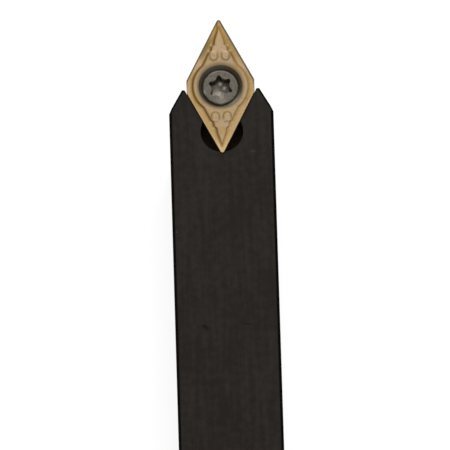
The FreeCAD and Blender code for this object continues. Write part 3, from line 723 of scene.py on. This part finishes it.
def beside_insert(nodes, circle):
    """1 against the insert's sides, fading out over 0.35 mm; 0 on all that is below the seat.
    A point's distance from a side is how far it leans out past the inscribed circle. It places
    the painted shade beside the insert."""
    x, y, z = nodes.object_axes()
    across = nodes.math("ABSOLUTE", x, 0.0)
    along = nodes.math("ABSOLUTE", nodes.math("SUBTRACT", y, AXIS_Y), 0.0)
    leaning = nodes.math("ADD", nodes.math("MULTIPLY", across, COS_NOSE),
                         nodes.math("MULTIPLY", along, SIN_NOSE))
    beside = nodes.ramp(leaning, circle + 0.05 * MM, circle + 0.4 * MM, 1.0, 0.0)
    return nodes.math("MULTIPLY", beside, nodes.ramp(z, SEAT_Z, SEAT_Z + 0.5 * MM))


def mark(nodes, x, y, half_width, half_length, turned=0.0, level=TOP_Z, half_depth=1.0):
    """A soft-edged oval on the bar, 1 in its middle and 0 outside, on its top unless told. Its
    place and sizes are in millimetres, its turn in degrees and its level in metres."""
    mapping = nodes.add("ShaderNodeMapping", vector_type="TEXTURE")
    mapping.inputs["Location"].default_value = (x * MM, y * MM, level)
    mapping.inputs["Rotation"].default_value = (0.0, 0.0, math.radians(turned))
    mapping.inputs["Scale"].default_value = (half_width * MM, half_length * MM, half_depth * MM)
    nodes.link(nodes.object_place(), mapping.inputs["Vector"])
    reach = nodes.add("ShaderNodeVectorMath", operation="LENGTH")
    nodes.link(mapping.outputs["Vector"], reach.inputs[0])
    return nodes.ramp(reach.outputs["Value"], 0.4, 1.0, 1.0, 0.0)


def black_oxide(s, circle):
    """Dull black oxide with streaks along the shank, a mottled grain, bevels darkened by painted
    shade and with weaker reflections, a pit, a scratch, two rubbed specks, a line of painted
    shade beside the insert, and painted light, a lighter brown, down in the relief under its rear tip."""
    nodes = Nodes("black_oxide_steel_finish")
    streaks = nodes.noise((2200.0, 160.0, 2200.0), 4.0)
    mottle = nodes.noise((1500.0, 1500.0, 1500.0), 5.0)
    clouds = nodes.noise((260.0, 180.0, 260.0), 5.0)
    grain = nodes.noise((6000.0, 6000.0, 6000.0), 2.0)
    rubbed = nodes.ramp(nodes.math("ADD", nodes.math("ADD", streaks, mottle), clouds), 1.3, 1.8)
    # The bevels get painted shade: a darker colour and weaker reflections.
    edges = bar_edges(nodes)
    relief_y = INSERT_LOW.y / MM + 2.1
    tone = nodes.coats(
        s.tint,
        (rubbed, s.worn),
        (edges, s.edge),
        *((mark(nodes, *spot), s.edge) for spot in DARK_MARKS),
        *((nodes.math("MULTIPLY", mark(nodes, *spot), 0.5), s.speck) for spot in RUBBED_MARKS),
        # Painted shade in a line against the insert's sides.
        (nodes.math("MULTIPLY", beside_insert(nodes, circle), 0.7), s.gap_shade),
        # Painted light: a lighter brown down in the shaded relief.
        (mark(nodes, 0.0, relief_y, 4.0, 4.0, level=SEAT_Z, half_depth=2.3), s.oil),
    )
    return nodes.surface(
        Base_Color=tone,
        Roughness=nodes.ramp(clouds, 0.3, 0.7, s.roughness - 0.05, s.roughness + 0.06),
        Normal=nodes.bump(grain, 0.25, 0.006 * MM),
        Specular_IOR_Level=nodes.ramp(edges, 0.0, 1.0, s.gloss, s.gloss * 0.2),
        Specular_Tint=(1.0, 0.86, 0.74, 1.0),
    )


def gold_coating(s):
    """Satin gold coating: cloudy, richer towards the noses and paler on the plateau, with painted
    highlights on its crests, painted shade in brown in the groove and in olive beside the left
    edge, a painted dark line along the cutting edge, and painted shade in the bore with a painted
    reflection on its mouth."""
    nodes = Nodes("coated_carbide_finish")
    clouds = nodes.noise((2600.0, 2600.0, 2600.0), 4.0)
    patches = nodes.noise((900.0, 900.0, 900.0), 3.0)
    grain = nodes.noise((9000.0, 9000.0, 9000.0), 3.0)
    tone = nodes.coats(
        s.coating,
        (nodes.attribute("plateau"), s.plain),
        (nodes.ramp(clouds, 0.48, 0.7, 0.0, 0.5), s.pale),
        (nodes.ramp(clouds, 0.5, 0.3, 0.0, 0.5), s.dusky),
        (nodes.ramp(patches, 0.48, 0.66, 0.0, 0.45), s.amber),
        (nodes.attribute("tips", 0.6), s.tips),
        # Painted shade in the olive band.
        (nodes.attribute("shade", 0.8), s.shade),
        # Painted shade in the groove.
        (nodes.attribute("groove", 0.95), s.groove_shade),
        # Painted highlights.
        (nodes.attribute("painted_highlight", 0.75), s.bright),
        # A painted dark line along the cutting edge.
        (nodes.attribute("edge", 0.9), s.rubbed),
        # Painted shade in the bore, with a painted reflection on the mouth's cone.
        (nodes.attribute("mouth"), nodes.mix(nodes.attribute("slate"), s.bore_shade, s.slate)),
    )
    return nodes.surface(
        Base_Color=tone,
        Metallic=s.metal,
        Roughness=nodes.ramp(clouds, 0.3, 0.7, s.roughness - 0.05, s.roughness + 0.07),
        Normal=nodes.bump(grain, 0.35, 0.005 * MM),
        # The groove reflects less, which deepens its painted shade.
        Specular_IOR_Level=nodes.ramp(nodes.attribute("groove"), 0.0, 1.0, 0.3, 0.08),
        Specular_Tint=(1.0, 0.82, 0.55, 1.0),
    )


def phosphated_steel(s):
    """Dark phosphated steel, cloudy with wear, with painted shade in its corners and recess, painted
    light on the lit part of the recess's floor, on two spots of its rim and on the near side of its
    head, painted highlights in patches round its rim and painted glints in its recess."""
    nodes = Nodes("screw_steel_finish")
    clouds = nodes.noise((3200.0, 3200.0, 3200.0), 4.0)
    grain = nodes.noise((9000.0, 9000.0, 9000.0), 3.0)
    patches = nodes.noise((1300.0, 1300.0, 1300.0), 3.0)
    # Painted highlights in patches round the rim.
    rim_highlights = nodes.math("MULTIPLY", nodes.attribute("rim"), nodes.ramp(patches, 0.57, 0.73))
    tone = nodes.coats(
        s.steel,
        (nodes.ramp(clouds, 0.35, 0.68), s.worn),
        # Painted light on the recess's floor, the rim and the head's top.
        (nodes.attribute("floor", 0.7), s.lit_steel),
        # Painted shade in the corners and the recess.
        (nodes.attribute("soil"), s.soil),
        (rim_highlights, s.rim_highlights),
        # Painted glints.
        (nodes.attribute("polish"), s.polish),
    )
    return nodes.surface(
        Base_Color=tone,
        Metallic=0.25,
        Roughness=nodes.ramp(clouds, 0.3, 0.7, s.roughness - 0.08, s.roughness + 0.1),
        Normal=nodes.bump(grain, 0.35, 0.006 * MM),
        Specular_IOR_Level=0.4,
        Specular_Tint=(1.0, 0.93, 0.82, 1.0),
    )


def white_where_seen(tree, plain, bright):
    """Mix a plain shader with a bright one that camera, glossy and transmission rays meet."""
    path = tree.nodes.new("ShaderNodeLightPath")
    factor = path.outputs["Is Camera Ray"]
    for name in ("Is Glossy Ray", "Is Transmission Ray"):
        larger = tree.nodes.new("ShaderNodeMath")
        larger.operation = "MAXIMUM"
        tree.links.new(factor, larger.inputs[0])
        tree.links.new(path.outputs[name], larger.inputs[1])
        factor = larger.outputs[0]
    mix = tree.nodes.new("ShaderNodeMixShader")
    tree.links.new(factor, mix.inputs[0])
    tree.links.new(plain, mix.inputs[1])
    tree.links.new(bright, mix.inputs[2])
    return mix.outputs[0]


def pale_floor():
    """White paper that keeps a faint shadow: what the camera meets glows under its own shade."""
    nodes = Nodes("pale_floor_finish")
    paper, shade = (nodes.add("ShaderNodeBsdfDiffuse") for _ in range(2))
    paper.inputs["Color"].default_value = (0.8, 0.8, 0.8, 1.0)
    shade.inputs["Color"].default_value = (0.25, 0.25, 0.25, 1.0)
    glow = nodes.add("ShaderNodeEmission")
    glow.inputs["Strength"].default_value = 0.85
    bright = nodes.add("ShaderNodeAddShader")
    nodes.link(shade.outputs[0], bright.inputs[0])
    nodes.link(glow.outputs[0], bright.inputs[1])
    output = nodes.add("ShaderNodeOutputMaterial")
    nodes.link(white_where_seen(nodes.tree, paper.outputs[0], bright.outputs[0]),
               output.inputs["Surface"])
    return nodes.material


# Operators
class TOOL_OT_holder(bpy.types.Operator):
    """Give the holder's steel its black oxide"""

    bl_idname = "turning_tool.holder"
    bl_label = "Finish Holder"

    def execute(self, context):
        scene = context.scene
        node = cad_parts["holder_body"]
        node.data.materials.clear()
        node.data.materials.append(black_oxide(scene.tool_holder, scene.tool_insert.circle))
        return {"FINISHED"}


class TOOL_OT_insert(bpy.types.Operator):
    """Press the diamond insert with its chip breaker"""

    bl_idname = "turning_tool.insert"
    bl_label = "Press Insert"

    def execute(self, context):
        s = context.scene.tool_insert
        piece = wrap_skin("insert_pressed", insert_skin(s))
        piece.data.materials.append(gold_coating(s))
        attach(piece, "holder")
        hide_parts("cutting_insert")
        return {"FINISHED"}


class TOOL_OT_screw(bpy.types.Operator):
    """Turn the clamp screw with its thread and six-lobe recess"""

    bl_idname = "turning_tool.screw"
    bl_label = "Turn Screw"

    def execute(self, context):
        s = context.scene.tool_screw
        skin, ends = screw_skin(s)
        piece = wrap_skin("screw_threaded", skin, ends)
        piece.data.materials.append(phosphated_steel(s))
        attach(piece, "screw")
        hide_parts("clamp_screw")
        return {"FINISHED"}


class TOOL_OT_stage(bpy.types.Operator):
    """Set the floor, the lamps, the sky and the camera"""

    bl_idname = "turning_tool.stage"
    bl_label = "Set Stage"

    def execute(self, context):
        s = context.scene.tool_stage
        add_floor(s)
        add_sky(context.scene, s)
        for lamp in LAMPS:
            add_lamp(*lamp)
        add_camera(context.scene, s)
        context.scene.view_settings.view_transform = "Standard"
        return {"FINISHED"}


# Stage
def add_floor(s):
    """A round floor that the tool lies on."""
    sides = 64
    outline = ring(np.linspace(0.0, 2 * math.pi, sides, endpoint=False), s.floor_radius)
    floor = make_piece("floor", np.column_stack([outline, np.zeros(sides)]), [list(range(sides))])
    floor.data.materials.append(pale_floor())


def add_sky(scene, s):
    """An even sky that looks white and lights at its own strength."""
    world = bpy.data.worlds.new("studio_sky")
    world.use_nodes = True
    tree = world.node_tree
    tree.nodes.clear()
    even, white = (tree.nodes.new("ShaderNodeBackground") for _ in range(2))
    even.inputs["Strength"].default_value = s.sky
    white.inputs["Strength"].default_value = 1.0
    for background in (even, white):
        background.inputs["Color"].default_value = (1.0, 1.0, 1.0, 1.0)
    output = tree.nodes.new("ShaderNodeOutputWorld")
    tree.links.new(white_where_seen(tree, even.outputs[0], white.outputs[0]),
                   output.inputs["Surface"])
    scene.world = world


def add_lamp(name, place, size, power):
    """A square soft lamp that faces the insert and that the camera doesn't see."""
    light = bpy.data.lights.new(name, "AREA")
    light.size = size
    light.energy = power
    lamp = bpy.data.objects.new(name, light)
    bpy.context.scene.collection.objects.link(lamp)
    aim = Vector((0.0, AXIS_Y, TOP_Z))
    lamp.location = aim + Vector(place)
    lamp.rotation_mode = "QUATERNION"
    lamp.rotation_quaternion = (aim - lamp.location).to_track_quat("-Z", "Y")
    lamp.visible_camera = False


def add_camera(scene, s):
    """The camera over the shank, looking down towards the nose."""
    camera = bpy.data.objects.new("camera", bpy.data.cameras.new("camera"))
    scene.collection.objects.link(camera)
    camera.data.lens = s.lens / MM
    camera.data.clip_start, camera.data.clip_end = 0.05, 20.0
    aim = Vector((s.aim_right, AXIS_Y - s.aim_back, TOP_Z))
    back = Vector((0.0, -math.cos(s.elevation), math.sin(s.elevation)))
    camera.location = aim + back * s.distance
    camera.rotation_mode = "QUATERNION"
    upright = (-back).to_track_quat("-Z", "Y")
    camera.rotation_quaternion = upright @ Quaternion((0.0, 0.0, 1.0), -s.roll)
    scene.camera = camera


# Add-on
class VIEW3D_PT_turning_tool(bpy.types.Panel):
    """Lists the tool's pieces and their settings."""

    bl_label = "Turning Tool"
    bl_idname = "VIEW3D_PT_turning_tool"
    bl_space_type = "VIEW_3D"
    bl_region_type = "UI"
    bl_category = "Turning Tool"

    def draw(self, context):
        for operator, group in STEPS:
            column = self.layout.column(align=True)
            column.operator(operator.bl_idname)
            settings = getattr(context.scene, group)
            for name in type(settings).__annotations__:
                column.prop(settings, name)


SETTINGS = {
    "tool_holder": HolderSettings,
    "tool_insert": InsertSettings,
    "tool_screw": ScrewSettings,
    "tool_stage": StageSettings,
}
STEPS = [
    (TOOL_OT_holder, "tool_holder"),
    (TOOL_OT_insert, "tool_insert"),
    (TOOL_OT_screw, "tool_screw"),
    (TOOL_OT_stage, "tool_stage"),
]
CLASSES = [*SETTINGS.values(), *(operator for operator, _ in STEPS), VIEW3D_PT_turning_tool]


def register():
    """Make the settings, operators and panel known, and give the scene its settings."""
    for item in CLASSES:
        bpy.utils.register_class(item)
    for name, group in SETTINGS.items():
        setattr(bpy.types.Scene, name, PointerProperty(type=group))


def unregister():
    """Take away what register added, the other way round."""
    for name in SETTINGS:
        delattr(bpy.types.Scene, name)
    for item in reversed(CLASSES):
        bpy.utils.unregister_class(item)


def main():
    """Build every piece in order."""
    register()
    bpy.ops.turning_tool.holder()
    bpy.ops.turning_tool.insert()
    bpy.ops.turning_tool.screw()
    bpy.ops.turning_tool.stage()


if __name__ == "__main__":
    main()
